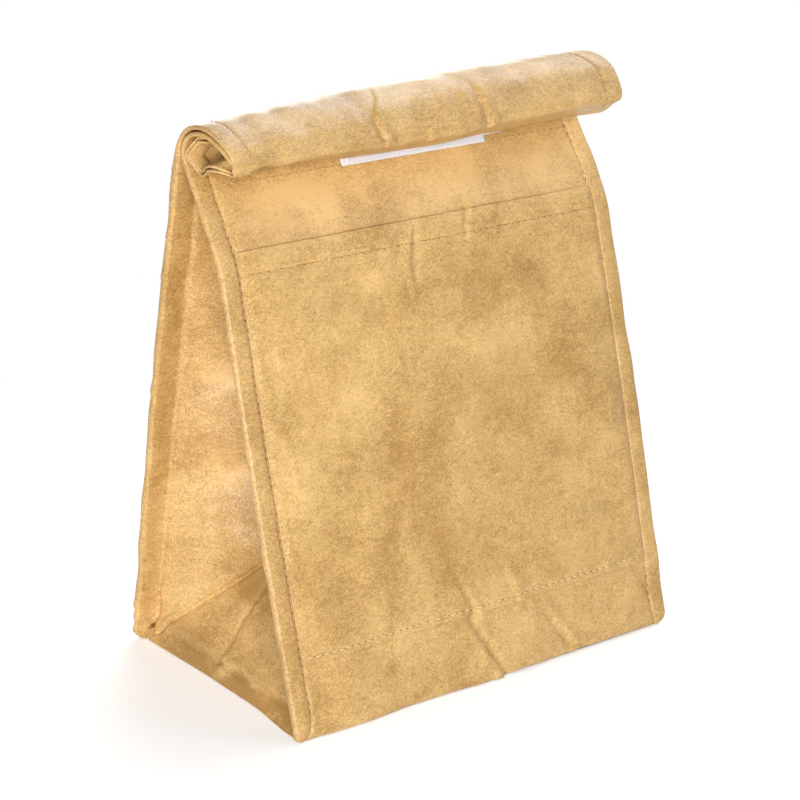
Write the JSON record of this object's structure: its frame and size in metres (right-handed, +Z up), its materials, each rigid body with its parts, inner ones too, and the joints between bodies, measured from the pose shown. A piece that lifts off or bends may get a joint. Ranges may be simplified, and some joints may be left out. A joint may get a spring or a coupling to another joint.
{
  "type": "roll-top lunch bag",
  "caption": "Closed kraft-look lunch bag with square base, folded side gussets, stitched seam ribs, flat front pocket and a rolled mouth.",
  "frame": {"origin": "middle of the base, on the surface that the bag stands on", "axes": "+Z up, +X to the right seen from the front, and the front with its pocket and roll faces -Y"},
  "size_m": [0.2026, 0.116, 0.2368],
  "materials": {
    "kraft_laminate": "satin laminated kraft-look sheet",
    "kraft_pocket": "satin laminated kraft-look sheet",
    "loop_pile": "matt white loop pile",
    "hook_tape": "matt white hook tape"
  },
  "bodies": {
    "root": {"bag_body": "kraft_laminate", "front_pocket": "kraft_pocket", "loop_strip": "loop_pile", "hook_strip": "hook_tape"}
  },
  "joints": []
}
